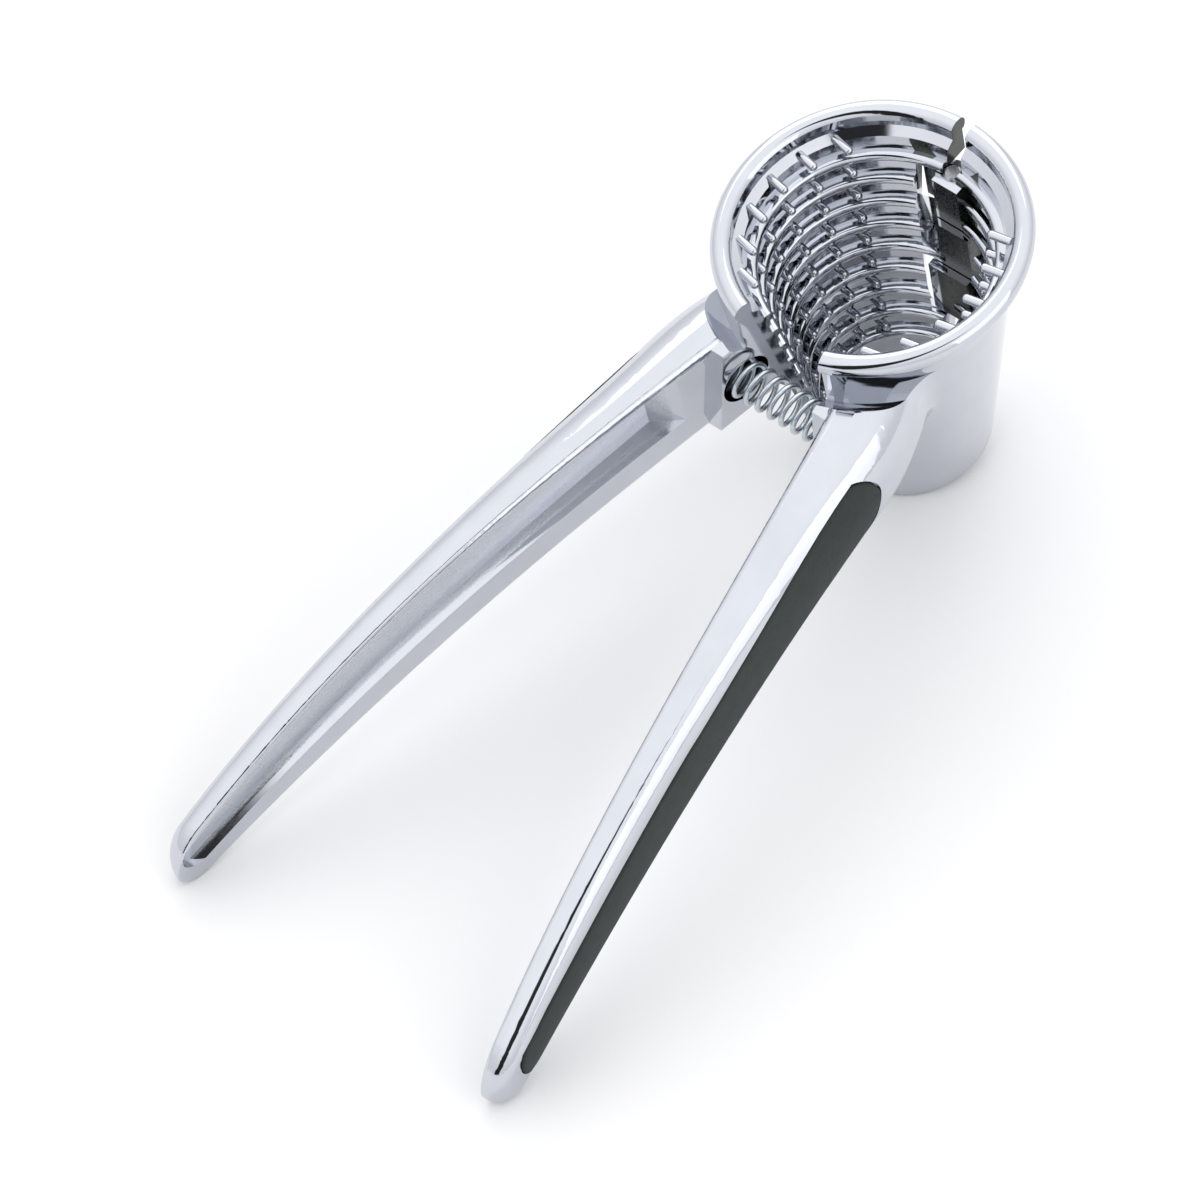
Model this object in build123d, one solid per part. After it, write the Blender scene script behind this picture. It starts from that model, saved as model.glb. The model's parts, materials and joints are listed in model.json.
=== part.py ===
from build123d import *
import math
import os

# Spring-opened funnel nutcracker, in millimetres. Two die-cast levers hinge on an upright pin at the
# back of a ribbed cone; a coil spring at the front holds them apart. The pieces are drawn with the cone's
# axis upright and the mouth at z = 0, +X towards the handles, and are then tipped to lie as the tool does
# on a table, on the cone's front edge and the two handle tips.

# Cone
RIM_WIDTH = 3.4
RIM_BEAD_HEIGHT = 3.2
RIM_CROWN = 0.9
RIM_EDGE_DROP = 1.7
LIP_STEP = 0.4
MOUTH_RADIUS = 22.6
MOUTH_BAND_HEIGHT = 3.4
MOUTH_BAND_STEP = 1.1
FLARE_DEPTH = 12.0
CONE_TOP_RADIUS = 21.65
CONE_BOTTOM_RADIUS = 14.65
CONE_HEIGHT = 57.8
WALL = 1.7

# Gripping ribs and bars inside the cone
RIB_COUNT = 9
RIB_FIRST_DEPTH = 8.2
RIB_PITCH = 5.35
RIB_HEIGHT = 2.0
RIB_PROUD = 1.5
BAR_COLUMNS = 6
BAR_FIRST_AZIMUTH = 40.5
BAR_STEP = 17.1
BAR_RADIUS = 0.75
BAR_PROUD = 3.4
BAR_RISE = 4.0

# Hinge
HINGE_X = -20.0
BARREL_RADIUS = 2.8
PIN_RADIUS = 1.6
PIN_CHAMFER = 0.4
PIN_PROUD = 0.5
PRESS_CLEARANCE = 0.01
RUNNING_CLEARANCE = 0.05
KNUCKLE_TOP_DEPTH = 8.8
KNUCKLE_HEIGHTS = (10.5, 11.4, 12.7)
KNUCKLE_GAP = 0.3
KNUCKLE_FRONTS = (-17.2, -16.0, -14.6)
KNUCKLE_HALF_WIDTHS = (2.2, 4.8, 3.5)
KNUCKLE_ROOT_WIDTHS = (2.9, 5.4, 4.4)
SWING_RADIUS = 7.0
SWING_CLEARANCE = 0.35
SHIELD_THICKNESS = 1.2
SHIELD_WIDTH = 6.3
CHEEK_WIDTH = 3.8
CHEEK_OVERLAP = 0.6
FRONT_WEB = 1.4

# Opening: each lever stands this far from the middle plane while the spring holds the tool open
OPEN_ANGLE = 10.5
FACE_CLEARANCE = 0.15
BACK_HALF_GAP = 1.35

# Handles, given at the root and at the tip with the shape between them as powers of the way along
HANDLE_ROOT_X = 24.0
HANDLE_END_X = 143.0
HANDLE_INNER_Y = 10.4
HANDLE_SPREAD = 26.6
HANDLE_BOW = 6.8
HANDLE_TOP_DEPTH = 8.0
HANDLE_TOP_DROP = 19.5
HANDLE_TOP_POWER = 3.09
HANDLE_BOTTOM_DEPTH = 28.0
HANDLE_BOTTOM_DROP = 9.7
HANDLE_BOTTOM_POWER = 2.87
HANDLE_WAIST_DEPTH = 6.1
HANDLE_WAIST_AT = 0.68
HANDLE_SWELL = 13.0
HANDLE_FLICK = 1.5
HANDLE_THINNING = 3.0
HANDLE_THIN_POWER = 4
HANDLE_TUCK = 32.0
HANDLE_BACK_ROUND = 0.66
HANDLE_TIP_ROUND = 0.46
HANDLE_EDGE_ROUND = 0.15
HANDLE_SOFT_POWER = 6
TIP_LENGTH = 6.0
TIP_BENDS = (18, 36, 52, 66, 78, 86)
STATIONS = (-0.15, -0.08, 0.0, 0.12, 0.30, 0.48, 0.66, 0.82, 0.93)

# Lever root: the pad that carries the spring, the step to the handle, and the hollow under the rim
PAD_TOP_X = 28.2
PAD_BOTTOM_X = 31.6
PAD_INSET = 0.8
PAD_BURIED = 1.5
HOLLOW_RADIUS = 28.6
HOLLOW_VALLEY_RADIUS = 25.6
HOLLOW_VALLEY_DEPTH = 10.9
HOLLOW_SAG = 0.5
ROOT_BLEND = 6.0

# Channel in each handle's inner face
CHANNEL_SHARE = 0.36
CHANNEL_TOP_LIP = 1.2
CHANNEL_LOW_SHARE = 0.33
CHANNEL_DRAFT = 0.7
CHANNEL_START_X = 35.5
CHANNEL_START_LEAN = 0.9
CHANNEL_END_INSET = 1.5

# Soft grip inlays on the handles' outer faces
GRIP_START_X = 36.5
GRIP_START_HALF = 6.4
GRIP_START_DEPTH = 16.8
GRIP_MIDDLE_HALF = 5.5
GRIP_MIDDLE_DEPTH = 20.4
GRIP_END_X = 133.0
GRIP_END_HALF = 3.9
GRIP_END_DEPTH = 29.8
GRIP_POCKET = 1.3
GRIP_PROUD = 0.5
GRIP_CLEARANCE = 0.08

# Return spring
SPRING_X = 25.0
SPRING_DEPTH = 19.0
SPRING_WIRE = 0.95
SPRING_RADIUS = 3.2
SPRING_OPEN_TURNS = 11
SPRING_END_TURNS = 1
SPRING_CLOSE_PITCH = 1.42
SPRING_SEAT_CLEARANCE = 0.1
SPRING_SAMPLES = 36
SPRING_BIARCS_PER_TURN = 4
POCKET_RADIUS = 4.6
POCKET_DEPTH = 6.8

MARGIN = 5.0
REACH = 200.0

rim_radius = MOUTH_RADIUS + RIM_WIDTH
bottom = -CONE_HEIGHT
taper = (CONE_TOP_RADIUS - CONE_BOTTOM_RADIUS) / (CONE_HEIGHT - FLARE_DEPTH)
open_slope = math.tan(math.radians(OPEN_ANGLE))
tip_x = HANDLE_END_X - TIP_LENGTH


def outer_radius(z):
    return CONE_BOTTOM_RADIUS + taper * (z - bottom)


def inner_radius(z):
    return outer_radius(z) - WALL


def pad_y(x):
    return open_slope * (x - HINGE_X) + FACE_CLEARANCE / math.cos(math.radians(OPEN_ANGLE))


def turned(edges):
    return revolve(make_face(Plane.XZ * Wire(edges)), Axis.Z)


# Cone, outside and inside, as solids of revolution: straight body, flared rim with its bead, and hollow
def cone_body():
    return turned([
        Line((0, bottom), (CONE_BOTTOM_RADIUS, bottom)),
        Line((CONE_BOTTOM_RADIUS, bottom), (outer_radius(0), 0)),
        Line((outer_radius(0), 0), (0, 0)),
        Line((0, 0), (0, bottom)),
    ])


def cone_flare():
    lip = (rim_radius - LIP_STEP, -RIM_BEAD_HEIGHT)
    edge = (rim_radius, -RIM_EDGE_DROP)
    crest = ((rim_radius + MOUTH_RADIUS) / 2, 0.0)
    mouth = (MOUTH_RADIUS, -RIM_CROWN)
    flare = (outer_radius(-FLARE_DEPTH), -FLARE_DEPTH)
    under_lip = (lip[0] - LIP_STEP, lip[1])
    return turned([
        Line((0, -FLARE_DEPTH), flare),
        TangentArc(flare, under_lip, tangent=(taper, 1)),
        Line(under_lip, lip),
        TangentArc(edge, lip, tangent=(0, -1)),
        ThreePointArc(edge, crest, mouth),
        Line(mouth, (0, mouth[1])),
        Line((0, mouth[1]), (0, -FLARE_DEPTH)),
    ])


def cone_inside():
    band = (MOUTH_RADIUS, -MOUTH_BAND_HEIGHT)
    step_z = -MOUTH_BAND_HEIGHT - MOUTH_BAND_STEP
    step = (inner_radius(step_z), step_z)
    low = bottom - MARGIN
    return turned([
        Line((0, MARGIN), (MOUTH_RADIUS, MARGIN)),
        Line((MOUTH_RADIUS, MARGIN), band),
        Line(band, step),
        Line(step, (inner_radius(bottom), bottom)),
        Line((inner_radius(bottom), bottom), (inner_radius(bottom), low)),
        Line((inner_radius(bottom), low), (0, low)),
        Line((0, low), (0, MARGIN)),
    ])


# Handle sections: flat inner face, small inner edges, broad rounds at the back
def way_along(x):
    return (x - HANDLE_ROOT_X) / (HANDLE_END_X - HANDLE_ROOT_X)


def handle_inner(x):
    t = way_along(x)
    return HANDLE_INNER_Y + HANDLE_SPREAD * t - HANDLE_BOW * t * t + HANDLE_FLICK * t ** HANDLE_THIN_POWER


def handle_depth(x):
    t = way_along(x)
    swell = HANDLE_SWELL * (t - HANDLE_WAIST_AT) ** 2 - HANDLE_THINNING * t ** HANDLE_THIN_POWER
    return HANDLE_WAIST_DEPTH + swell - HANDLE_TUCK * max(-t, 0.0)


def handle_top(x):
    return -HANDLE_TOP_DEPTH - HANDLE_TOP_DROP * max(way_along(x), 0.0) ** HANDLE_TOP_POWER


def handle_bottom(x):
    return -HANDLE_BOTTOM_DEPTH - HANDLE_BOTTOM_DROP * max(way_along(x), 0.0) ** HANDLE_BOTTOM_POWER


# The rounds take most of the depth, so that the top and the underside are crowned from edge to back
def handle_edge(x):
    return HANDLE_EDGE_ROUND * handle_depth(x)


def handle_round(x):
    deep = HANDLE_BACK_ROUND * handle_depth(x)
    tall = HANDLE_TIP_ROUND * (handle_top(x) - handle_bottom(x))
    return (deep ** -HANDLE_SOFT_POWER + tall ** -HANDLE_SOFT_POWER) ** (-1 / HANDLE_SOFT_POWER)


def handle_back(x, z):
    back = handle_round(x)
    over = max(z - handle_top(x) + back, handle_bottom(x) + back - z, 0.0)
    return handle_inner(x) + handle_depth(x) - back + math.sqrt(back * back - over * over)


# Past tip_x the section shrinks to the inner face's middle line, as a quarter of an ellipse does
def tip_share(x):
    return math.sqrt(1 - (max(x - tip_x, 0.0) / TIP_LENGTH) ** 2)


def handle_low(x):
    middle, half = (handle_top(x) + handle_bottom(x)) / 2, (handle_top(x) - handle_bottom(x)) / 2
    return middle - half * tip_share(x)


def handle_section(x):
    share = tip_share(x)
    inner, outer = handle_inner(x), handle_inner(x) + handle_depth(x) * share
    top, low = handle_top(x) + handle_bottom(x) - handle_low(x), handle_low(x)
    edge, back = handle_edge(x) * share, handle_round(x) * share
    corner = 1 - math.sqrt(0.5)
    edges = [
        Line((inner, low + edge), (inner, top - edge)),
        ThreePointArc((inner, top - edge), (inner + edge * corner, top - edge * corner), (inner + edge, top)),
        Line((inner + edge, top), (outer - back, top)),
        ThreePointArc((outer - back, top), (outer - back * corner, top - back * corner), (outer, top - back)),
        Line((outer, top - back), (outer, low + back)),
        ThreePointArc((outer, low + back), (outer - back * corner, low + back * corner), (outer - back, low)),
        Line((outer - back, low), (inner + edge, low)),
        ThreePointArc((inner + edge, low), (inner + edge * corner, low + edge * corner), (inner, low + edge)),
    ]
    return Plane((x, 0, 0), x_dir=(0, 1, 0), z_dir=(1, 0, 0)) * make_face(Wire(edges))


def tip_place(bend):
    return tip_x + TIP_LENGTH * math.sin(math.radians(bend))


def handle_loft():
    span = HANDLE_END_X - HANDLE_ROOT_X
    body = loft([handle_section(x) for x in [HANDLE_ROOT_X + t * span for t in STATIONS] + [tip_x]])
    return body + loft([handle_section(tip_place(bend)) for bend in (0, *TIP_BENDS)])


# Everything on the +Y side of the parting faces while the tool stands open
def parting_prism():
    outline = Polyline(
        (HINGE_X, pad_y(HINGE_X)),
        (REACH, pad_y(REACH)),
        (REACH, REACH),
        (-REACH, REACH),
        (-REACH, BACK_HALF_GAP),
        (HINGE_X, BACK_HALF_GAP),
        close=True,
    )
    return Pos(0, 0, -REACH) * extrude(make_face(outline), 2 * REACH, dir=(0, 0, 1))


# Hollow that runs round under the rim between the flare and the handle's top
def rim_hollow():
    high = -HANDLE_TOP_DEPTH + HOLLOW_SAG
    start = (HOLLOW_RADIUS + HOLLOW_SAG, high)
    valley = (HOLLOW_VALLEY_RADIUS, -HOLLOW_VALLEY_DEPTH)
    sag = ((start[0] + valley[0]) / 2, (start[1] + valley[1]) / 2 - HOLLOW_SAG)
    foot = (outer_radius(-FLARE_DEPTH) - WALL, -FLARE_DEPTH)
    return turned([
        Line((0, MARGIN), (start[0], MARGIN)),
        Line((start[0], MARGIN), start),
        ThreePointArc(start, sag, valley),
        Line(valley, foot),
        Line(foot, (0, -FLARE_DEPTH)),
        Line((0, -FLARE_DEPTH), (0, MARGIN)),
    ])


# Ribs round the cone and the rows of short bars that stand on them
def gripping_ribs():
    ribs = []
    for index in range(RIB_COUNT):
        z = -(RIB_FIRST_DEPTH + RIB_PITCH * index)
        root, crest = inner_radius(z) + WALL / 2, inner_radius(z) - RIB_PROUD
        half = RIB_HEIGHT / 2
        ribs.append(turned([
            Line((root, z - half), (root, z + half)),
            Line((root, z + half), (crest + half, z + half)),
            ThreePointArc((crest + half, z + half), (crest, z), (crest + half, z - half)),
            Line((crest + half, z - half), (root, z - half)),
        ]))
    return ribs


# The bars are level and stand square to the parting face, the way the casting leaves its mould
def gripping_bars():
    buried = WALL / 2
    nose = revolve(make_face(Plane.XZ * Wire([
        Line((0, buried), (BAR_RADIUS, buried)),
        Line((BAR_RADIUS, buried), (BAR_RADIUS, BAR_RADIUS - BAR_PROUD)),
        ThreePointArc(
            (BAR_RADIUS, BAR_RADIUS - BAR_PROUD),
            (BAR_RADIUS * math.sqrt(0.5), BAR_RADIUS * (1 - math.sqrt(0.5)) - BAR_PROUD),
            (0, -BAR_PROUD),
        ),
        Line((0, -BAR_PROUD), (0, buried)),
    ])), Axis.Z)
    bars = []
    for column in range(BAR_COLUMNS):
        azimuth = math.radians(BAR_FIRST_AZIMUTH + BAR_STEP * column)
        for row in range(RIB_COUNT):
            z = -(RIB_FIRST_DEPTH + RIB_PITCH * row) + BAR_RISE
            x, y = inner_radius(z) * math.cos(azimuth), inner_radius(z) * math.sin(azimuth)
            bars.append(Pos(x, y, z) * Rot(0, 0, OPEN_ANGLE) * Rot(-90, 0, 0) * nose)
    return bars


# Channel in the handle's inner face, drafted, with a thin lip above it, a broad one below and a round end
def channel_levels(x):
    tall = handle_top(x) - handle_bottom(x)
    return handle_top(x) - CHANNEL_TOP_LIP, handle_bottom(x) + CHANNEL_LOW_SHARE * tall


def handle_channel():
    def section(x):
        inner, deep = handle_inner(x), CHANNEL_SHARE * handle_depth(x)
        high, low = channel_levels(x)
        out = CHANNEL_DRAFT * MARGIN / deep
        outline = Polyline(
            (inner - MARGIN, low - out),
            (inner + deep, low + CHANNEL_DRAFT),
            (inner + deep, high - CHANNEL_DRAFT),
            (inner - MARGIN, high + out),
            close=True,
        )
        return Plane((x, 0, 0), x_dir=(0, 1, 0), z_dir=(1, 0, 0)) * make_face(outline)

    start, steps = CHANNEL_START_X - MARGIN, len(STATIONS) - 1
    body = loft([section(start + (HANDLE_END_X - start) * i / steps) for i in range(steps + 1)])
    near = handle_inner(CHANNEL_START_X)
    deep = CHANNEL_SHARE * handle_depth(CHANNEL_START_X) + MARGIN
    begun = make_face(Polyline(
        (CHANNEL_START_X - CHANNEL_START_LEAN * MARGIN, near - MARGIN),
        (CHANNEL_START_X + CHANNEL_START_LEAN * deep, near + deep),
        (REACH, REACH),
        (REACH, near - MARGIN),
        close=True,
    ))
    high, low = channel_levels(tip_x)
    bow = extrude(Plane.XZ * Ellipse(TIP_LENGTH - CHANNEL_END_INSET, (high - low) / 2), REACH, both=True)
    fall = (sum(channel_levels(tip_x + TIP_LENGTH)) - sum(channel_levels(tip_x))) / 2
    lean = Rot(0, math.degrees(math.atan2(-fall, TIP_LENGTH)), 0)
    ended = Pos(tip_x, 0, (high + low) / 2) * lean * (bow + Pos(-REACH / 2, 0, 0) * Box(REACH, REACH, REACH))
    return body & (Pos(0, 0, -REACH) * extrude(begun, 2 * REACH, dir=(0, 0, 1))) & ended


# Grip: a long tapered strip with round ends, given at its start, middle and end
def along_grip(x, values):
    start, end = GRIP_START_X, GRIP_END_X
    middle = (start + end) / 2
    first = values[0] * (x - middle) * (x - end) / ((start - middle) * (start - end))
    second = values[1] * (x - start) * (x - end) / ((middle - start) * (middle - end))
    third = values[2] * (x - start) * (x - middle) / ((end - start) * (end - middle))
    return first + second + third


def grip_levels(x, grown):
    centre = -along_grip(x, (GRIP_START_DEPTH, GRIP_MIDDLE_DEPTH, GRIP_END_DEPTH))
    half = along_grip(x, (GRIP_START_HALF, GRIP_MIDDLE_HALF, GRIP_END_HALF)) + grown
    return centre + half, centre - half


def grip_loft(section):
    first = GRIP_START_X - GRIP_START_HALF - GRIP_PROUD
    last = GRIP_END_X + GRIP_END_HALF + GRIP_PROUD
    steps = len(STATIONS) - 1
    places = [first + (last - first) * i / steps for i in range(steps + 1)]
    return loft([Plane((x, 0, 0), x_dir=(0, 1, 0), z_dir=(1, 0, 0)) * section(x) for x in places])


def round_ends(grown):
    past = GRIP_PROUD
    high, low = grip_levels(GRIP_START_X, grown + past)
    tip_high, tip_low = grip_levels(GRIP_END_X, grown + past)
    near, far = GRIP_START_X + past, GRIP_END_X - past
    near_end = (GRIP_START_X - GRIP_START_HALF - grown, (high + low) / 2)
    far_end = (GRIP_END_X + GRIP_END_HALF + grown, (tip_high + tip_low) / 2)
    outline = Wire([
        ThreePointArc((near, high), near_end, (near, low)),
        Line((near, low), (near, -REACH)),
        Line((near, -REACH), (far, -REACH)),
        Line((far, -REACH), (far, tip_low)),
        ThreePointArc((far, tip_low), far_end, (far, tip_high)),
        Line((far, tip_high), (far, REACH)),
        Line((far, REACH), (near, REACH)),
        Line((near, REACH), (near, high)),
    ])
    return extrude(make_face(Plane.XZ * outline), REACH, dir=(0, 1, 0))


def grip_floor(x, high, low, deep):
    return [ThreePointArc(*((handle_back(x, z) - deep, z) for z in (high, (high + low) / 2, low)))]


def grip_pocket():
    def section(x):
        high, low = grip_levels(x, GRIP_CLEARANCE)
        outside = handle_inner(x) + handle_depth(x) + MARGIN
        return make_face(Wire(grip_floor(x, high, low, GRIP_POCKET) + [
            Line((handle_back(x, low) - GRIP_POCKET, low), (outside, low)),
            Line((outside, low), (outside, high)),
            Line((outside, high), (handle_back(x, high) - GRIP_POCKET, high)),
        ]))

    return grip_loft(section) & round_ends(GRIP_CLEARANCE)


def block(x, y, z):
    return Pos((x[0] + x[1]) / 2, (y[0] + y[1]) / 2, (z[0] + z[1]) / 2) * Box(
        x[1] - x[0], y[1] - y[0], z[1] - z[0]
    )


# Web along the front of the parting face, from the rim down to the lever root
def front_web():
    web = block((-HINGE_X, REACH), (0, FRONT_WEB), (-FLARE_DEPTH, CHEEK_OVERLAP - RIM_BEAD_HEIGHT))
    return Pos(HINGE_X, 0, 0) * Rot(0, 0, OPEN_ANGLE) * web & Cylinder(rim_radius - 2 * LIP_STEP, REACH)


# One lever as cast, on the +Y side: cone half, handle, pad, hollow, the cheek beside the rear slot, the web
# at the front, channel, grip pocket, ribs and bars
def lever_blank():
    cone = cone_body()
    handle = handle_loft()
    joined = cone + handle
    crossing = new_edges(cone, handle, combined=joined)
    outside = [edge for edge in crossing if edge.bounding_box().max.Y > handle_inner(PAD_BOTTOM_X)]
    blank = fillet(outside, ROOT_BLEND)

    pad_top = handle_top(HANDLE_ROOT_X) - PAD_INSET
    pad_low = handle_bottom(HANDLE_ROOT_X) + PAD_INSET
    pad_back = HANDLE_ROOT_X / 2
    pad = make_face(Plane.XZ * Polyline(
        (pad_back, pad_top), (PAD_TOP_X, pad_top), (PAD_BOTTOM_X, pad_low), (pad_back, pad_low), close=True
    ))
    blank += extrude(pad, handle_inner(PAD_BOTTOM_X) + PAD_BURIED, dir=(0, 1, 0))

    prism = parting_prism()
    blank -= rim_hollow()
    blank += cone_flare()
    cheek_back = -math.sqrt((rim_radius - LIP_STEP) ** 2 - (BACK_HALF_GAP + CHEEK_WIDTH) ** 2)
    blank += block(
        (cheek_back, HINGE_X),
        (BACK_HALF_GAP, BACK_HALF_GAP + CHEEK_WIDTH),
        (-KNUCKLE_TOP_DEPTH, CHEEK_OVERLAP - RIM_BEAD_HEIGHT),
    )
    blank += front_web()
    blank -= cone_inside()
    blank &= prism
    blank -= handle_channel()
    blank -= grip_pocket()

    ribs = [rib & prism for rib in gripping_ribs()]
    return blank.fuse(*ribs).fuse(*gripping_bars())


# Soft inlay, on the +Y side, a thin bond line clear of its pocket and crowned a little proud of the handle
def grip_inlay():
    def section(x):
        high, low = grip_levels(x, 0.0)
        middle = (high + low) / 2
        crest = (handle_back(x, middle) + GRIP_PROUD, middle)
        deep, rise = GRIP_POCKET - GRIP_CLEARANCE, GRIP_PROUD / 2
        upper, lower = handle_back(x, high), handle_back(x, low)
        return make_face(Wire(grip_floor(x, high, low, deep) + [
            Line((lower - deep, low), (lower + rise, low)),
            ThreePointArc((lower + rise, low), crest, (upper + rise, high)),
            Line((upper + rise, high), (upper - deep, high)),
        ]))

    return grip_loft(section) & round_ends(0.0)


# Knuckle levels, counted down from the top one; the middle one belongs to the left lever
def knuckle_span(index):
    top = -KNUCKLE_TOP_DEPTH - sum(KNUCKLE_HEIGHTS[:index]) - KNUCKLE_GAP * index
    return top, top - KNUCKLE_HEIGHTS[index]


def upright(radius, top, low):
    return Pos(HINGE_X, 0, (top + low) / 2) * Cylinder(radius, top - low)


# A barrel round the pin, a flat-fronted tab that joins it to its own half of the cone, and a thin shield that
# closes the cut in the other half
def knuckle(index, side):
    top, low = knuckle_span(index)
    front = KNUCKLE_FRONTS[index]
    half = KNUCKLE_HALF_WIDTHS[index]
    swing = upright(SWING_RADIUS - SWING_CLEARANCE, top, low)
    far = block((HINGE_X, front), (-half, half), (low, top)) & swing
    wall = turned([
        Line((0, bottom), (outer_radius(bottom) - WALL / 2, bottom)),
        Line((outer_radius(bottom) - WALL / 2, bottom), (outer_radius(0) - WALL / 2, 0)),
        Line((outer_radius(0) - WALL / 2, 0), (0, 0)),
        Line((0, 0), (0, bottom)),
    ])
    near_y = sorted((side * half / 2, side * KNUCKLE_ROOT_WIDTHS[index]))
    near = block((HINGE_X, front), near_y, (low, top)) & wall
    across = sorted((0, -side * SHIELD_WIDTH))
    shield = block((HINGE_X - SHIELD_THICKNESS, HINGE_X), across, (low, top)) & swing
    return (upright(BARREL_RADIUS, top, low) + far).fuse(near, shield)


def lever(blank, side, own, other):
    body = blank
    for index in other:
        top, low = knuckle_span(index)
        body -= upright(SWING_RADIUS, top + KNUCKLE_GAP, low - KNUCKLE_GAP)
    body = body.fuse(*[knuckle(index, side) for index in own])
    clearance = PRESS_CLEARANCE if len(own) > 1 else RUNNING_CLEARANCE
    body -= upright(PIN_RADIUS + clearance, 0, bottom)
    floor = pad_y(SPRING_X) + POCKET_DEPTH
    pocket = Rot(-90, 0, 0) * Cylinder(POCKET_RADIUS, floor, align=(Align.CENTER, Align.CENTER, Align.MIN))
    pocket = Pos(SPRING_X, 0, -SPRING_DEPTH) * (pocket if side > 0 else mirror(pocket, about=Plane.XZ))
    return body - pocket


# Straight pin with chamfered ends, a touch proud of the knuckles
def hinge_pin():
    top = knuckle_span(0)[0] + PIN_PROUD
    low = knuckle_span(len(KNUCKLE_HEIGHTS) - 1)[1] - PIN_PROUD
    return chamfer(upright(PIN_RADIUS, top, low).edges().filter_by(GeomType.CIRCLE), PIN_CHAMFER)


# Coil spring along Y from one pocket floor to the other, open turns between two close ends
seat_y = pad_y(SPRING_X) + POCKET_DEPTH - SPRING_SEAT_CLEARANCE - SPRING_WIRE / 2
open_length = 2 * seat_y - 2 * SPRING_END_TURNS * SPRING_CLOSE_PITCH
open_pitch = open_length / SPRING_OPEN_TURNS
spring_turns = SPRING_OPEN_TURNS + 2 * SPRING_END_TURNS


def spring_rise(turn):
    middle = min(max(turn - SPRING_END_TURNS, 0), SPRING_OPEN_TURNS)
    return -seat_y + (turn - middle) * SPRING_CLOSE_PITCH + middle * open_pitch


def spring_point(turn):
    angle = 2 * math.pi * turn
    return Vector(
        SPRING_X + SPRING_RADIUS * math.cos(angle),
        spring_rise(turn),
        -SPRING_DEPTH + SPRING_RADIUS * math.sin(angle),
    )


def spring_heading(turn):
    angle = 2 * math.pi * turn
    near = 1 / SPRING_SAMPLES
    before, after = max(turn - near, 0), min(turn + near, spring_turns)
    climb = (spring_rise(after) - spring_rise(before)) / (after - before) / (2 * math.pi * SPRING_RADIUS)
    return Vector(-math.sin(angle), climb, math.cos(angle)).normalized()


# Two tangent arcs that carry a quarter turn from one point and heading to the next
def biarc(start, end, heading, leaving):
    chord, both = end - start, heading + leaving
    opened = 2 - 2 * heading.dot(leaving)
    along = chord.dot(both)
    reach = (-along + math.sqrt(along * along + opened * chord.dot(chord))) / opened
    middle = (start + heading * reach + end - leaving * reach) * 0.5
    through = (end - leaving * reach) - (start + heading * reach)
    return [TangentArc(start, middle, tangent=heading), TangentArc(middle, end, tangent=through)]


def return_spring():
    quarters = SPRING_BIARCS_PER_TURN * spring_turns
    turns = [i / SPRING_BIARCS_PER_TURN for i in range(quarters + 1)]
    points = [spring_point(t) for t in turns]
    headings = [spring_heading(t) for t in turns]
    first = points[0] - headings[0] * SPRING_WIRE
    last = points[-1] + headings[-1] * SPRING_WIRE
    edges = [Line(first, points[0])]
    for i in range(quarters):
        edges += biarc(points[i], points[i + 1], headings[i], headings[i + 1])
    edges.append(Line(points[-1], last))
    path = Wire(edges)
    section = Plane(first, z_dir=headings[0]) * Circle(SPRING_WIRE / 2)
    return sweep(section, path=path), path


def least_gap(path):
    per_turn = SPRING_SAMPLES
    count = per_turn * spring_turns
    points = [path @ (i / count) for i in range(count + 1)]
    gaps = [
        (points[i] - points[j]).length
        for i in range(count + 1)
        for j in range(i + per_turn // 2, min(i + 2 * per_turn, count + 1))
    ]
    return min(gaps) - SPRING_WIRE


blank = lever_blank()
grip = grip_inlay()
spring, spring_path = return_spring()
pieces = {
    "left_lever": lever(mirror(blank, about=Plane.XZ), -1, (1,), (0, 2)),
    "right_lever": lever(blank, 1, (0, 2), (1,)),
    "left_grip": mirror(grip, about=Plane.XZ),
    "right_grip": grip,
    "hinge_pin": hinge_pin(),
    "return_spring": spring,
}
print("spring least gap to itself, mm:", round(least_gap(spring_path), 3))
print("spring volume over section times length:",
      round(spring.volume / (math.pi * SPRING_WIRE ** 2 / 4 * spring_path.length), 4))

# The tool lies on the front edge of the cone and on the rounded undersides of the tips
front_y = pad_y(CONE_BOTTOM_RADIUS)
front_x = math.sqrt(CONE_BOTTOM_RADIUS ** 2 - front_y ** 2)
tip_run = [tip_place(bend) for bend in range(TIP_BENDS[-1])]
tilt = min(math.atan2(handle_low(x) - bottom, x - front_x) for x in tip_run)
lying = {name: Rot(0, math.degrees(tilt), 0) * piece for name, piece in pieces.items()}
boxes = [piece.bounding_box() for piece in lying.values()]
back_x, front_end_x = min(b.min.X for b in boxes), max(b.max.X for b in boxes)
seat = Pos(-(back_x + front_end_x) / 2, 0, -min(b.min.Z for b in boxes))

os.makedirs("parts", exist_ok=True)
for name, piece in lying.items():
    export_step(seat * piece, f"parts/{name}.step")

frame = seat * Rot(0, math.degrees(tilt), 0)


def placed(x, y, z):
    return tuple(round(v / 1000, 6) for v in (frame * Pos(x, y, z)).position)


print("tilt, degrees:", round(math.degrees(tilt), 4))
print("hinge axis point:", placed(HINGE_X, 0, knuckle_span(1)[0]), "direction:",
      (round(math.sin(tilt), 6), 0.0, round(math.cos(tilt), 6)))
print("bottom ring point:", placed(0, inner_radius(bottom) + WALL / 2, bottom))
print("overall length, mm:", round(front_end_x - back_x, 2))
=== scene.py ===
import json
import math

import bmesh
import bpy
import numpy as np
from mathutils import Matrix, Vector
from mathutils.bvhtree import BVHTree


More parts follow.
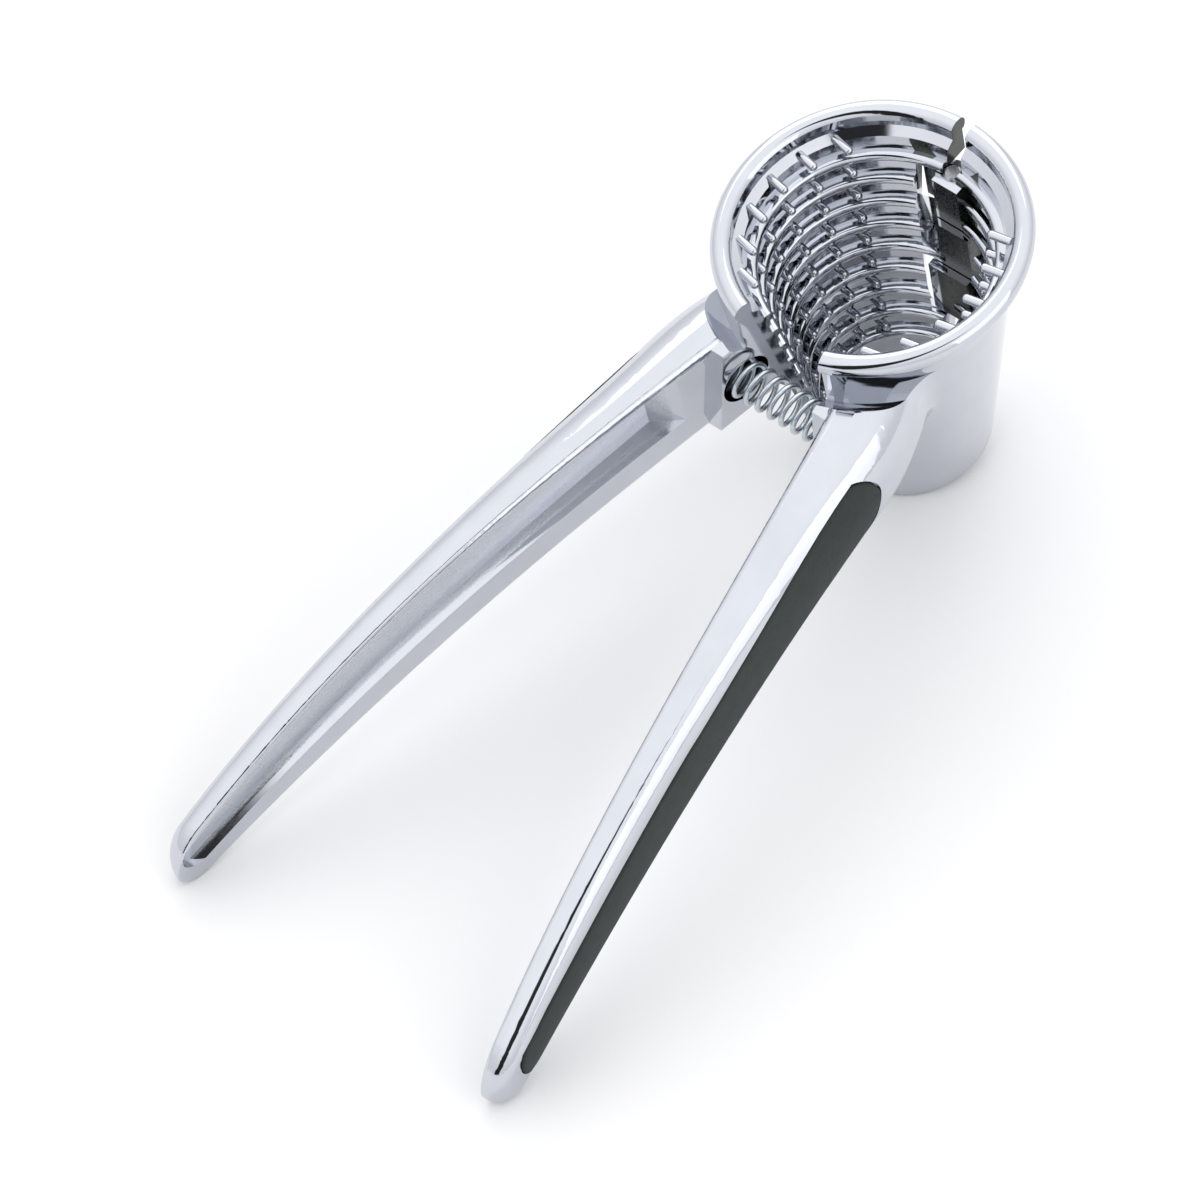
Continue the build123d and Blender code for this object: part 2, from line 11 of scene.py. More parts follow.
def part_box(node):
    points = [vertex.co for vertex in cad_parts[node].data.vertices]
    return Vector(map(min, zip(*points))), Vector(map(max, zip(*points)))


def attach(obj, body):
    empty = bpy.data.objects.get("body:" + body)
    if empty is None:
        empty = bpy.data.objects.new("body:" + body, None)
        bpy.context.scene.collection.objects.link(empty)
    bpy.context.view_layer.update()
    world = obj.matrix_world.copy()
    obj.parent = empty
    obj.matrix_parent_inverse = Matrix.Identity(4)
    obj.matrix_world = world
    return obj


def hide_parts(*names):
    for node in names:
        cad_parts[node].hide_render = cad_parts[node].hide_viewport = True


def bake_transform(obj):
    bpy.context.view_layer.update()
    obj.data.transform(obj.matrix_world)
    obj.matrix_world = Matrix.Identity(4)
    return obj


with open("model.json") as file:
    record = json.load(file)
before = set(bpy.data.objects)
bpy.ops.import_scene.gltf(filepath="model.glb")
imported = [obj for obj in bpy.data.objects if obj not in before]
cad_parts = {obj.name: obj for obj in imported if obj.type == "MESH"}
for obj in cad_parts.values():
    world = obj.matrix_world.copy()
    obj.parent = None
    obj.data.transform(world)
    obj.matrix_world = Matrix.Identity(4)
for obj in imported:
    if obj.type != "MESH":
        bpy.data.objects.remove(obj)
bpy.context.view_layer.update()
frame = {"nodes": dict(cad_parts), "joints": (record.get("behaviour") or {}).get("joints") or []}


# Die-cast levers
# Each lever is one zinc-alloy casting: half of the ribbed funnel, its hinge knuckles and a long handle.
# The casting is ground, buffed lengthwise and plated with copper, nickel and bright chrome; the channel in
# the handle is plated as it was cast.
def tint(code):
    """A linear colour from an sRGB hex code."""
    parts = [int(code[i:i + 2], 16) / 255 for i in (1, 3, 5)]
    return [p / 12.92 if p <= 0.04045 else ((p + 0.055) / 1.055) ** 2.4 for p in parts] + [1.0]


def add(tree, kind, settings=None, inputs=None):
    """One shader node: settings are its own properties, inputs are values or other nodes' output sockets."""
    node = tree.nodes.new(kind)
    for name, value in (settings or {}).items():
        setattr(node, name, value)
    for name, value in (inputs or {}).items():
        if isinstance(value, bpy.types.NodeSocket):
            tree.links.new(value, node.inputs[name])
        else:
            node.inputs[name].default_value = value
    return node


def new_material(name):
    """A new material, its node tree and the shader in it."""
    material = bpy.data.materials.new(name)
    material.use_nodes = True
    return material, material.node_tree, material.node_tree.nodes["Principled BSDF"]


# The tool was drawn upright, with the middle of the funnel's mouth at the origin, and then tipped about Y
# to lie on the table. The joint's point, at the top of the middle knuckle, and its axis give that placing.
MM = 0.001
HINGE_X = -20.0 * MM
MIDDLE_KNUCKLE_TOP = -19.6 * MM
hinge_point = Vector(frame["joints"][0]["pos_m"])
hinge_axis = Vector(frame["joints"][0]["axis"])
tilt = math.atan2(hinge_axis.x, hinge_axis.z)
tipping = Matrix.Rotation(tilt, 4, "Y")
lying = Matrix.Translation(hinge_point - tipping @ Vector((HINGE_X, 0, MIDDLE_KNUCKLE_TOP))) @ tipping


def placed(x, y, z):
    """A point of the upright tool, in metres, where it lies on the table."""
    return lying @ Vector((x, y, z))


# Bright chrome over buffed zinc: blue-white and mirror-like, with a slow ripple from the buffing wheel
# that bends the reflections a little, faint lengthwise buffing lines in the gloss, and a finely grained
# satin skin inside the channel. Buffing lines are a few hundredths of a millimetre wide and are drawn
# coarser here so that they show. The hinge plates and the slot at the back carry painted shade: their
# colour is a dark, mottled grey that stands in for the shadow falling there, and they are made rougher.
RIPPLE_WIDTH = 11 * MM
RIPPLE_HEIGHT = 0.006 * MM
LINE_WIDTH = 0.5 * MM
LINE_LENGTH = 40 * MM
CLOUD_WIDTH = 6 * MM
GRAIN_WIDTH = 0.45 * MM
GRAIN_HEIGHT = 0.02 * MM
NOISE_LOW = 0.3
NOISE_HIGH = 0.7
BUFFED_ROUGHNESS = (0.045, 0.085)
CAST_ROUGHNESS_ADDED = 0.22
SHADE_ROUGHNESS_ADDED = 0.2
chrome, tree, shader = new_material("bright chrome on buffed zinc")
where = add(tree, "ShaderNodeTexCoord")
upright = add(tree, "ShaderNodeMapping", {"vector_type": "TEXTURE"}, {
    "Vector": where.outputs["Object"], "Location": lying.to_translation(), "Rotation": (0, tilt, 0),
})
axes = add(tree, "ShaderNodeSeparateXYZ", inputs={"Vector": upright.outputs["Vector"]})
facing = add(tree, "ShaderNodeSeparateXYZ", inputs={"Vector": where.outputs["Normal"]})
away = add(tree, "ShaderNodeMath", {"operation": "ABSOLUTE"}, {0: axes.outputs["Y"]})

# The handle's inner face leaves the root in a bow and flicks out at the tip; the channel is sunk below it
HANDLE_ROOT = 24.0 * MM
HANDLE_RUN = 119.0 * MM
HANDLE_INNER = 10.4 * MM
HANDLE_SPREAD = 26.6 * MM
HANDLE_BOW = 6.8 * MM
HANDLE_FLICK = 1.5 * MM
FLICK_POWER = 4.0
CHANNEL_START = 34.0 * MM
CHANNEL_SHADOW = 0.8 * MM
CHANNEL_FLOOR = 1.5 * MM
way = add(tree, "ShaderNodeMapRange", {"clamp": False}, {
    "Value": axes.outputs["X"], "From Min": HANDLE_ROOT, "From Max": HANDLE_ROOT + HANDLE_RUN,
})
bend = add(tree, "ShaderNodeMath", {"operation": "MULTIPLY_ADD"}, {
    0: way.outputs["Result"], 1: -HANDLE_BOW, 2: HANDLE_SPREAD,
})
bowed = add(tree, "ShaderNodeMath", {"operation": "MULTIPLY_ADD"}, {
    0: way.outputs["Result"], 1: bend.outputs["Value"], 2: HANDLE_INNER,
})
late = add(tree, "ShaderNodeMath", {"operation": "POWER"}, {0: way.outputs["Result"], 1: FLICK_POWER})
inner = add(tree, "ShaderNodeMath", {"operation": "MULTIPLY_ADD"}, {
    0: late.outputs["Value"], 1: HANDLE_FLICK, 2: bowed.outputs["Value"],
})
sunk = add(tree, "ShaderNodeMath", {"operation": "SUBTRACT"}, {
    0: away.outputs["Value"], 1: inner.outputs["Value"],
})
side = add(tree, "ShaderNodeMath", {"operation": "SIGN"}, {0: axes.outputs["Y"]})
outward = add(tree, "ShaderNodeMath", {"operation": "MULTIPLY"}, {
    0: facing.outputs["Y"], 1: side.outputs["Value"],
})

# The hinge plates stand at the back of the funnel, and their shields reach further left than the plates do.
# The painted shade lies within these places.
PLATES_FRONT = -13.5 * MM
PLATES_TOP = -8.5 * MM
PLATES_FOOT = -44.5 * MM
PLATES_LEFT = -1.5 * MM
PLATES_RIGHT = 5.2 * MM
PLATES_EDGE = 0.4 * MM
SHIELD_FRONT = -19.4 * MM
SHIELD_WIDTH = 6.3 * MM
SLOT_HALF_WIDTH = 1.5 * MM
on_shield = add(tree, "ShaderNodeMath", {"operation": "LESS_THAN"}, {0: axes.outputs["X"], 1: SHIELD_FRONT})
leftward = add(tree, "ShaderNodeMath", {"operation": "MULTIPLY_ADD"}, {
    0: on_shield.outputs["Value"], 1: SHIELD_WIDTH, 2: axes.outputs["Y"],
})
crossways = add(tree, "ShaderNodeMath", {"operation": "ABSOLUTE"}, {0: facing.outputs["Y"]})

# Each soft edge runs from where its mask ends to where it is full, and each limit is a plain cut. The
# channel mask is the satin skin; the plates and slot masks place painted shade. Places are in the upright
# tool; the way that a face is turned is a direction cosine of the tool on the table.
soft_edges = {
    "sunk in": (sunk.outputs["Value"], CHANNEL_SHADOW, CHANNEL_FLOOR),
    "turned in": (outward.outputs["Value"], -0.06, -0.15),
    "past the left edge": (leftward.outputs["Value"], PLATES_LEFT - PLATES_EDGE, PLATES_LEFT),
    "short of the right edge": (axes.outputs["Y"], PLATES_RIGHT + PLATES_EDGE, PLATES_RIGHT),
    "not facing up": (facing.outputs["Z"], 0.7, 0.4),
    "not facing back": (facing.outputs["X"], -0.3, -0.05),
}
limits = {
    "past the root": (axes.outputs["X"], "GREATER_THAN", CHANNEL_START),
    "at the back": (axes.outputs["X"], "LESS_THAN", PLATES_FRONT),
    "before the pin": (axes.outputs["X"], "GREATER_THAN", HINGE_X - PLATES_EDGE),
    "above the foot": (axes.outputs["Z"], "GREATER_THAN", PLATES_FOOT),
    "above the plates": (axes.outputs["Z"], "GREATER_THAN", PLATES_TOP),
    "facing across": (crossways.outputs["Value"], "GREATER_THAN", 0.8),
    "near the slot": (away.outputs["Value"], "LESS_THAN", SLOT_HALF_WIDTH),
}
skins_and_shade = {
    "channel": ("sunk in", "turned in", "past the root"),
    "plates": (
        "at the back", "before the pin", "past the left edge", "short of the right edge", "not facing up",
        "not facing back", "above the foot",
    ),
    "slot": ("at the back", "above the plates", "facing across", "near the slot"),
}
tests = {}
for name, (value, none, full) in soft_edges.items():
    tests[name] = add(tree, "ShaderNodeMapRange", {"interpolation_type": "SMOOTHSTEP"}, {
        "Value": value, "From Min": none, "From Max": full,
    }).outputs["Result"]
for name, (value, comparison, limit) in limits.items():
    tests[name] = add(tree, "ShaderNodeMath", {"operation": comparison}, {
        0: value, 1: limit,
    }).outputs["Value"]
masks = {}
for skin, names in skins_and_shade.items():
    masks[skin] = tests[names[0]]
    for name in names[1:]:
        masks[skin] = add(tree, "ShaderNodeMath", {"operation": "MULTIPLY"}, {
            0: masks[skin], 1: tests[name],
        }).outputs["Value"]
# Painted shade: where the hinge plates and the slot lie in shadow, the colour is darkened
painted_shade_mask = add(tree, "ShaderNodeMath", {"operation": "MAXIMUM"}, {0: masks["plates"], 1: masks["slot"]})

# Colour, gloss and relief
ripple = add(tree, "ShaderNodeTexNoise", inputs={
    "Vector": upright.outputs["Vector"], "Scale": 1 / RIPPLE_WIDTH, "Detail": 0.0,
})
stretched = add(tree, "ShaderNodeMapping", inputs={
    "Vector": upright.outputs["Vector"], "Scale": (LINE_WIDTH / LINE_LENGTH, 1, 1),
})
lines = add(tree, "ShaderNodeTexNoise", inputs={
    "Vector": stretched.outputs["Vector"], "Scale": 1 / LINE_WIDTH, "Detail": 3.0,
})
clouds = add(tree, "ShaderNodeTexNoise", inputs={
    "Vector": upright.outputs["Vector"], "Scale": 1 / CLOUD_WIDTH, "Detail": 4.0,
})
grain = add(tree, "ShaderNodeTexNoise", inputs={
    "Vector": upright.outputs["Vector"], "Scale": 1 / GRAIN_WIDTH, "Detail": 2.0,
})
cast_grain = add(tree, "ShaderNodeMath", {"operation": "MULTIPLY"}, {
    0: grain.outputs["Fac"], 1: masks["channel"],
})
waved = add(tree, "ShaderNodeBump", inputs={"Height": ripple.outputs["Fac"], "Distance": RIPPLE_HEIGHT})
grained = add(tree, "ShaderNodeBump", inputs={
    "Height": cast_grain.outputs["Value"], "Distance": GRAIN_HEIGHT, "Normal": waved.outputs["Normal"],
})
gloss = add(tree, "ShaderNodeMapRange", inputs={
    "Value": lines.outputs["Fac"], "From Min": NOISE_LOW, "From Max": NOISE_HIGH,
    "To Min": BUFFED_ROUGHNESS[0], "To Max": BUFFED_ROUGHNESS[1],
})
satin = add(tree, "ShaderNodeMath", {"operation": "MULTIPLY_ADD"}, {
    0: masks["channel"], 1: CAST_ROUGHNESS_ADDED, 2: gloss.outputs["Result"],
})
dulled = add(tree, "ShaderNodeMath", {"operation": "MULTIPLY_ADD"}, {
    0: painted_shade_mask.outputs["Value"], 1: SHADE_ROUGHNESS_ADDED, 2: satin.outputs["Value"],
})
plated = add(tree, "ShaderNodeMix", {"data_type": "RGBA"}, {
    "Factor": clouds.outputs["Fac"], "A": tint("#C3C6CD"), "B": tint("#CED1D7"),
})
# Painted shade: a dark mottled grey that stands in for the shadow on the hinge plates and in the slot
painted_shade = add(tree, "ShaderNodeMix", {"data_type": "RGBA"}, {
    "Factor": clouds.outputs["Fac"], "A": tint("#2A2D2A"), "B": tint("#5A5E58"),
})
metal = add(tree, "ShaderNodeMix", {"data_type": "RGBA"}, {
    "Factor": painted_shade_mask.outputs["Value"], "A": plated.outputs[2], "B": painted_shade.outputs[2],
})
shader.inputs["Metallic"].default_value = 1.0
tree.links.new(metal.outputs[2], shader.inputs["Base Color"])
tree.links.new(dulled.outputs["Value"], shader.inputs["Roughness"])
tree.links.new(grained.outputs["Normal"], shader.inputs["Normal"])
for node in ("left_lever", "right_lever"):
    lever = frame["nodes"][node]
    lever.data.materials.clear()
    lever.data.materials.append(chrome)

# Hinge pin
# A straight pin cut from drawn steel rod, chamfered at both ends and pressed into the right lever's outer
# knuckles. Drawn steel: darker and greyer than the chrome, satin, with fine rings left by the cut-off tool
# on its end faces.
RING_PITCH = 0.25 * MM
RING_HEIGHT = 0.006 * MM
PITCH_AT_SCALE_ONE = math.pi / 10
STEEL_ROUGHNESS = (0.24, 0.36)
steel, tree, shader = new_material("drawn steel rod")
where = add(tree, "ShaderNodeTexCoord")
centred = add(tree, "ShaderNodeMapping", {"vector_type": "TEXTURE"}, {
    "Vector": where.outputs["Object"], "Location": hinge_point, "Rotation": (0, tilt, 0),
})
rings = add(tree, "ShaderNodeTexWave", {"wave_type": "RINGS", "rings_direction": "Z"}, {
    "Vector": centred.outputs["Vector"], "Scale": PITCH_AT_SCALE_ONE / RING_PITCH, "Distortion": 0.4,
})
turned = add(tree, "ShaderNodeBump", inputs={"Height": rings.outputs["Fac"], "Distance": RING_HEIGHT})
dull = add(tree, "ShaderNodeMapRange", inputs={
    "Value": rings.outputs["Fac"], "To Min": STEEL_ROUGHNESS[0], "To Max": STEEL_ROUGHNESS[1],
})
rod = add(tree, "ShaderNodeMix", {"data_type": "RGBA"}, {
    "Factor": rings.outputs["Fac"], "A": tint("#A9ACB0"), "B": tint("#BCBFC3"),
})
shader.inputs["Metallic"].default_value = 1.0
tree.links.new(rod.outputs[2], shader.inputs["Base Color"])
tree.links.new(dull.outputs["Result"], shader.inputs["Roughness"])
tree.links.new(turned.outputs["Normal"], shader.inputs["Normal"])
pin = frame["nodes"]["hinge_pin"]
pin.data.materials.clear()
pin.data.materials.append(steel)

# Return spring
# A compression spring wound from hard-drawn wire, one close turn at each end and open turns between. Its
# ends sit in round pockets in the two levers.
SPRING_X = 25.0 * MM
SPRING_DEPTH = 19.0 * MM
COIL_RADIUS = 3.2 * MM
WIRE = 0.95 * MM
OPEN_TURNS = 11
END_TURNS = 1
CLOSE_PITCH = 1.42 * MM
STEPS_PER_TURN = 40
WIRE_SIDES = 14
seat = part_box("return_spring")[1].y - WIRE / 2
turns = OPEN_TURNS + 2 * END_TURNS
open_pitch = (2 * seat - 2 * END_TURNS * CLOSE_PITCH) / OPEN_TURNS
points = []
faces = []
wire_uv = []
for step in range(turns * STEPS_PER_TURN + 1):
    turn = step / STEPS_PER_TURN
    opened = min(max(turn - END_TURNS, 0), OPEN_TURNS)
    climb = open_pitch if END_TURNS <= turn <= END_TURNS + OPEN_TURNS else CLOSE_PITCH
    rise = -seat + opened * open_pitch + (turn - opened) * CLOSE_PITCH
    angle = 2 * math.pi * turn
    outwards = Vector((math.cos(angle), 0, math.sin(angle)))
    forwards = Vector((-math.sin(angle), climb / (2 * math.pi * COIL_RADIUS), math.cos(angle))).normalized()
    sideways = forwards.cross(outwards)
    for corner in range(WIRE_SIDES):
        around = 2 * math.pi * corner / WIRE_SIDES
        reach = outwards * (COIL_RADIUS + WIRE / 2 * math.cos(around))
        reach += sideways * (WIRE / 2 * math.sin(around))
        points.append(placed(SPRING_X + reach.x, rise + reach.y, reach.z - SPRING_DEPTH))
        wire_uv.append((turn * 2 * math.pi * COIL_RADIUS, WIRE / 2 * around))
last = len(points) - WIRE_SIDES
for start in range(0, last, WIRE_SIDES):
    for corner in range(WIRE_SIDES):
        beside = (corner + 1) % WIRE_SIDES
        ahead = start + WIRE_SIDES
        faces.append((start + corner, start + beside, ahead + beside, ahead + corner))
faces.append(tuple(range(WIRE_SIDES)))
faces.append(tuple(range(last, last + WIRE_SIDES)))
scene = bpy.context.scene


def smooth_mesh(name, points, faces):
    """A closed mesh object from points and faces, smooth-shaded, with its faces turned outwards."""
    mesh = bpy.data.meshes.new(name)
    mesh.from_pydata(points, [], faces)
    shape = bmesh.new()
    shape.from_mesh(mesh)
    bmesh.ops.recalc_face_normals(shape, faces=shape.faces)
    shape.to_mesh(mesh)
    shape.free()
    mesh.shade_smooth()
    made = bpy.data.objects.new(name, mesh)
    scene.collection.objects.link(made)
    return made


# Bright zinc-plated spring wire: pale and slightly blue, less of a mirror than the chrome, with die lines
# along the wire. Real lines are about 0.05 mm wide and are drawn coarser here so that they show.
DIE_LINE_WIDTH = 0.16 * MM
DIE_LINE_LENGTH = 9 * MM
DIE_LINE_HEIGHT = 0.008 * MM
WIRE_ROUGHNESS = (0.13, 0.26)
spring = smooth_mesh("coil_spring", points, faces)
layer = spring.data.uv_layers.new(name="along_wire")
for loop in spring.data.loops:
    layer.data[loop.index].uv = wire_uv[loop.vertex_index]
zinc, tree, shader = new_material("bright zinc spring wire")
wire_map = add(tree, "ShaderNodeUVMap", {"uv_map": "along_wire"})
drawn = add(tree, "ShaderNodeMapping", inputs={
    "Vector": wire_map.outputs["UV"], "Scale": (DIE_LINE_WIDTH / DIE_LINE_LENGTH, 1, 1),
})
die_lines = add(tree, "ShaderNodeTexNoise", inputs={
    "Vector": drawn.outputs["Vector"], "Scale": 1 / DIE_LINE_WIDTH, "Detail": 2.0,
})
scored = add(tree, "ShaderNodeBump", inputs={
    "Height": die_lines.outputs["Fac"], "Distance": DIE_LINE_HEIGHT,
})
sheen = add(tree, "ShaderNodeMapRange", inputs={
    "Value": die_lines.outputs["Fac"], "From Min": NOISE_LOW, "From Max": NOISE_HIGH,
    "To Min": WIRE_ROUGHNESS[0], "To Max": WIRE_ROUGHNESS[1],
})
coating = add(tree, "ShaderNodeMix", {"data_type": "RGBA"}, {
    "Factor": die_lines.outputs["Fac"], "A": tint("#BCC5CC"), "B": tint("#D6DCE0"),
})
shader.inputs["Metallic"].default_value = 1.0
tree.links.new(coating.outputs[2], shader.inputs["Base Color"])
tree.links.new(sheen.outputs["Result"], shader.inputs["Roughness"])
tree.links.new(scored.outputs["Normal"], shader.inputs["Normal"])
spring.data.materials.append(zinc)
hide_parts("return_spring")
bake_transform(spring)

# Soft grips
# A long tapered strip of thermoplastic rubber with round ends, moulded separately and bonded into a
# shallow pocket in each handle's back. It stands a little proud, crowned across, and its edges roll over
# into the pocket.
GRIP_START = 36.5 * MM
GRIP_END = 133.0 * MM
GRIP_HALVES = (6.4 * MM, 5.5 * MM, 3.9 * MM)
GRIP_DEPTHS = (16.8 * MM, 20.4 * MM, 29.8 * MM)
GRIP_THICKNESS = 1.4 * MM
EDGE_ROLL = 0.45 * MM
OUTLINE_INSET = 0.12 * MM
BLUNT_END = math.radians(4)
ROUND_STEPS = 14
LONG_STEPS = 110
ACROSS_STEPS = 28
PULLS = (1.0, 0.95, 0.8, 0.0)
stations = (GRIP_START, (GRIP_START + GRIP_END) / 2, GRIP_END)
half_curve = np.polyfit(stations, GRIP_HALVES, 2)
depth_curve = np.polyfit(stations, GRIP_DEPTHS, 2)


def places_along():
    """Places along the strip, close together round its two ends."""
    bends = [BLUNT_END + (math.pi / 2 - BLUNT_END) * i / ROUND_STEPS for i in range(ROUND_STEPS)]
    near = [GRIP_START - (GRIP_HALVES[0] - OUTLINE_INSET) * math.cos(bend) for bend in bends]
    long = [GRIP_START + (GRIP_END - GRIP_START) * i / LONG_STEPS for i in range(LONG_STEPS + 1)]
    far = [GRIP_END + (GRIP_HALVES[2] - OUTLINE_INSET) * math.cos(bend) for bend in reversed(bends)]
    return near + long + far


def grip_strip(name, node, out):
    """The strip on one handle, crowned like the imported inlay; out is -1 on the left and 1 on the right."""
    inlay = frame["nodes"][node].data
    crown = BVHTree.FromPolygons([v.co for v in inlay.vertices], [p.vertices for p in inlay.polygons])
    top, base = [], []
    along = places_along()
    for x in along:
        within = min(max(x, GRIP_START), GRIP_END)
        full = np.polyval(half_curve, within) - OUTLINE_INSET
        half = math.sqrt(max(full ** 2 - (x - within) ** 2, 0))
        level = -np.polyval(depth_curve, within)
        for j in range(ACROSS_STEPS + 1):
            across = half * math.sin(math.pi * (j / ACROSS_STEPS - 0.5))
            spot = placed(x, 0, level + across)
            # A ray that misses the inlay at its very edge is pulled in towards the middle
            for pull in PULLS:
                start = placed(x, out, level + across * pull)
                hit = crown.ray_cast(start, Vector((0, -out, 0)))[0]
                if hit:
                    break
            edge = full - math.hypot(x - within, across)
            short = max(EDGE_ROLL - edge, 0)
            rolled = EDGE_ROLL - math.sqrt(EDGE_ROLL ** 2 - min(short, EDGE_ROLL) ** 2)
            top.append((spot.x, hit.y - out * rolled, spot.z))
            base.append((spot.x, hit.y - out * GRIP_THICKNESS, spot.z))
    wide = ACROSS_STEPS + 1
    count = len(along)
    grid = [
        (i * wide + j, i * wide + j + 1, (i + 1) * wide + j + 1, (i + 1) * wide + j)
        for i in range(count - 1)
        for j in range(ACROSS_STEPS)
    ]
    under = len(top)
    faces = grid + [tuple(corner + under for corner in face) for face in grid]
    rim = list(range(wide))
    rim += [i * wide + ACROSS_STEPS for i in range(1, count)]
    rim += [(count - 1) * wide + j for j in range(ACROSS_STEPS - 1, -1, -1)]
    rim += [i * wide for i in range(count - 2, 0, -1)]
    for here, there in zip(rim, rim[1:] + rim[:1]):
        faces.append((here, there, there + under, here + under))
    return smooth_mesh(name, top + base, faces)


# Moulded thermoplastic rubber: charcoal with a green cast, dead matte, with the fine spark-eroded grain of
# its mould and a faint mottle. The real grain is about 0.1 mm and is drawn coarser here so that it shows.
MOULD_GRAIN = 0.32 * MM
MOULD_GRAIN_HEIGHT = 0.03 * MM
MOTTLE_WIDTH = 2.5 * MM
RUBBER_ROUGHNESS = (0.58, 0.8)
rubber, tree, shader = new_material("moulded thermoplastic rubber")
where = add(tree, "ShaderNodeTexCoord")
pebbles = add(tree, "ShaderNodeTexNoise", inputs={
    "Vector": where.outputs["Object"], "Scale": 1 / MOULD_GRAIN, "Detail": 2.0, "Roughness": 0.6,
})
mottle = add(tree, "ShaderNodeTexNoise", inputs={
    "Vector": where.outputs["Object"], "Scale": 1 / MOTTLE_WIDTH, "Detail": 3.0,
})
pigment = add(tree, "ShaderNodeMix", {"data_type": "RGBA"}, {
    "Factor": mottle.outputs["Fac"], "A": tint("#232A28"), "B": tint("#2E3634"),
})
matte = add(tree, "ShaderNodeMapRange", inputs={
    "Value": pebbles.outputs["Fac"], "To Min": RUBBER_ROUGHNESS[0], "To Max": RUBBER_ROUGHNESS[1],
})
pebbled = add(tree, "ShaderNodeBump", inputs={
    "Height": pebbles.outputs["Fac"], "Distance": MOULD_GRAIN_HEIGHT,
})
shader.inputs["IOR"].default_value = 1.48
shader.inputs["Specular IOR Level"].default_value = 0.35
tree.links.new(pigment.outputs[2], shader.inputs["Base Color"])
tree.links.new(matte.outputs["Result"], shader.inputs["Roughness"])
tree.links.new(pebbled.outputs["Normal"], shader.inputs["Normal"])
for name, node, body, out in (
    ("left_grip_strip", "left_grip", "left_half", -1),
    ("right_grip_strip", "right_grip", "right_half", 1),
):
    strip = grip_strip(name, node, out)
    strip.data.materials.append(rubber)
    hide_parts(node)
    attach(strip, body)

# Table and studio
# The tool lies on a white paper sweep in a bright room. Two walls of white cloth hang over it with a dark
# gap between them, widest on the camera's side; a large soft box stands beyond the funnel and a smaller
# one at the side.
TABLE_SIZE = 16.0
bpy.ops.mesh.primitive_plane_add(size=TABLE_SIZE, location=(0, 0, 0))
table = bpy.context.object
table.name = "table"
paper, tree, shader = new_material("white paper")
shader.inputs["Base Color"].default_value = tint("#F4F4F4")
shader.inputs["Roughness"].default_value = 0.9
table.data.materials.append(paper)

# The gap is a wedge of directions, closed at one end and at its full width at the other, with soft edges
GAP_SIDEWAYS = Vector((0.101, -0.903, 0.418))
GAP_ALONG = Vector((0.985, 0.033, -0.167))
GAP_ENDS = (-0.35, 0.35)
GAP_HALF_WIDTHS = (-0.03, 0.2)
GAP_EDGES = (-0.02, 0.05)
WALL_ENDS = (0.1, 0.9)
WALL_LEVELS = (0.98, 1.4)
world = bpy.data.worlds.new("studio")
scene.world = world
world.use_nodes = True
tree = world.node_tree
gaze = add(tree, "ShaderNodeTexCoord")
off_gap = add(tree, "ShaderNodeVectorMath", {"operation": "DOT_PRODUCT"}, {
    0: gaze.outputs["Generated"], 1: GAP_SIDEWAYS,
})
off_size = add(tree, "ShaderNodeMath", {"operation": "ABSOLUTE"}, {0: off_gap.outputs["Value"]})
along_gap = add(tree, "ShaderNodeVectorMath", {"operation": "DOT_PRODUCT"}, {
    0: gaze.outputs["Generated"], 1: GAP_ALONG,
})
gap_width = add(tree, "ShaderNodeMapRange", inputs={
    "Value": along_gap.outputs["Value"], "From Min": GAP_ENDS[0], "From Max": GAP_ENDS[1],
    "To Min": GAP_HALF_WIDTHS[0], "To Max": GAP_HALF_WIDTHS[1],
})
inside_gap = add(tree, "ShaderNodeMath", {"operation": "SUBTRACT"}, {
    0: gap_width.outputs["Result"], 1: off_size.outputs["Value"],
})
gap = add(tree, "ShaderNodeMapRange", {"interpolation_type": "SMOOTHSTEP"}, {
    "Value": inside_gap.outputs["Value"], "From Min": GAP_EDGES[0], "From Max": GAP_EDGES[1],
})
height = add(tree, "ShaderNodeSeparateXYZ", inputs={"Vector": gaze.outputs["Generated"]})
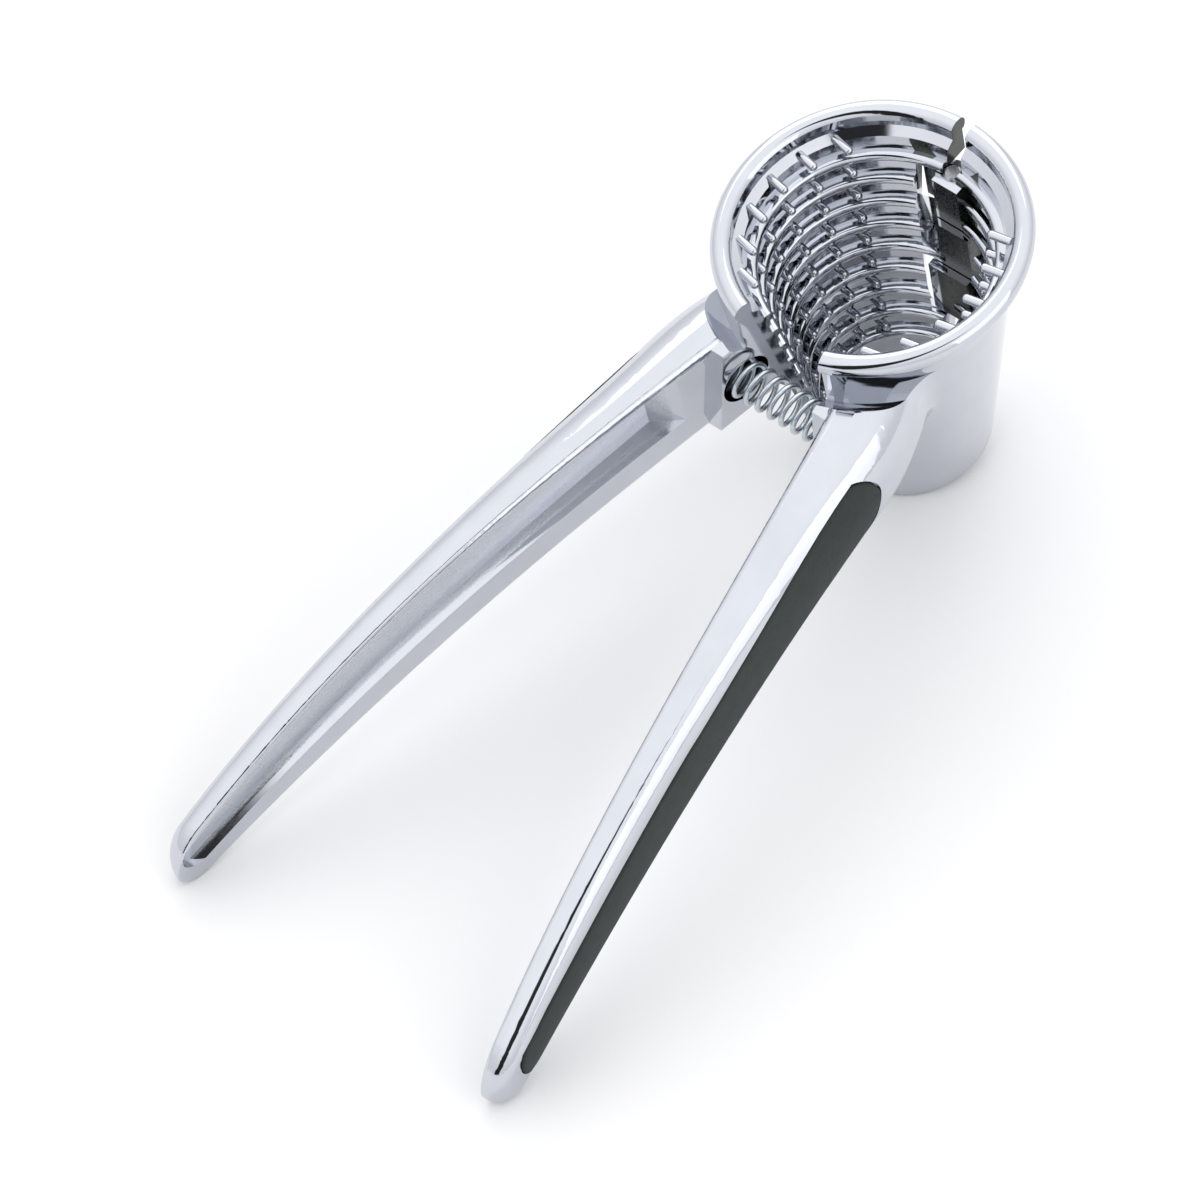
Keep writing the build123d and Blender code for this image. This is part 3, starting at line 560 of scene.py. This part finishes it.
brightness = add(tree, "ShaderNodeMapRange", {"interpolation_type": "SMOOTHSTEP"}, {
    "Value": height.outputs["Z"], "From Min": WALL_ENDS[0], "From Max": WALL_ENDS[1],
    "To Min": WALL_LEVELS[0], "To Max": WALL_LEVELS[1],
})
room = add(tree, "ShaderNodeMix", {"data_type": "RGBA"}, {
    "Factor": gap.outputs["Result"], "A": tint("#FBFBFD"), "B": tint("#2A2B2C"),
})
tree.links.new(room.outputs[2], tree.nodes["Background"].inputs["Color"])
tree.links.new(brightness.outputs["Result"], tree.nodes["Background"].inputs["Strength"])

LAMPS_AIM = Vector((0, 0, 0.03))
for label, place, size, power in (
    ("rear soft box", Vector((-0.62, -0.50, 0.60)), 0.80, 1.6),
    ("side soft box", Vector((-0.20, 0.90, 0.45)), 0.70, 0.9),
):
    lamp = bpy.data.lights.new(label, "AREA")
    lamp.shape = "SQUARE"
    lamp.size = size
    lamp.energy = power
    holder = bpy.data.objects.new(label, lamp)
    scene.collection.objects.link(holder)
    holder.location = place
    holder.rotation_euler = (LAMPS_AIM - place).to_track_quat("-Z", "Y").to_euler()

# Camera
# The photograph looks down on the tool from beyond the tips of the handles, on the right lever's side,
# through a long lens. The angles were fitted to the ellipse of the funnel's mouth and to the outlines of
# the handles.
VIEW_TARGET = Vector((7.638, -7.23, 18.852)) * MM
VIEW_DISTANCE = 800 * MM
VIEW_AZIMUTH = math.radians(43.5106)
VIEW_ELEVATION = math.radians(52.7697)
VIEW_ROLL = math.radians(-4.0657)
eye = bpy.data.cameras.new("camera")
eye.lens = 150.0
eye.sensor_width = 36.0
camera = bpy.data.objects.new("camera", eye)
scene.collection.objects.link(camera)
camera.matrix_world = (
    Matrix.Translation(VIEW_TARGET)
    @ Matrix.Rotation(VIEW_AZIMUTH + math.pi / 2, 4, "Z")
    @ Matrix.Rotation(math.pi / 2 - VIEW_ELEVATION, 4, "X")
    @ Matrix.Rotation(VIEW_ROLL, 4, "Z")
    @ Matrix.Translation((0, 0, VIEW_DISTANCE))
)
scene.camera = camera
scene.view_settings.view_transform = "Standard"
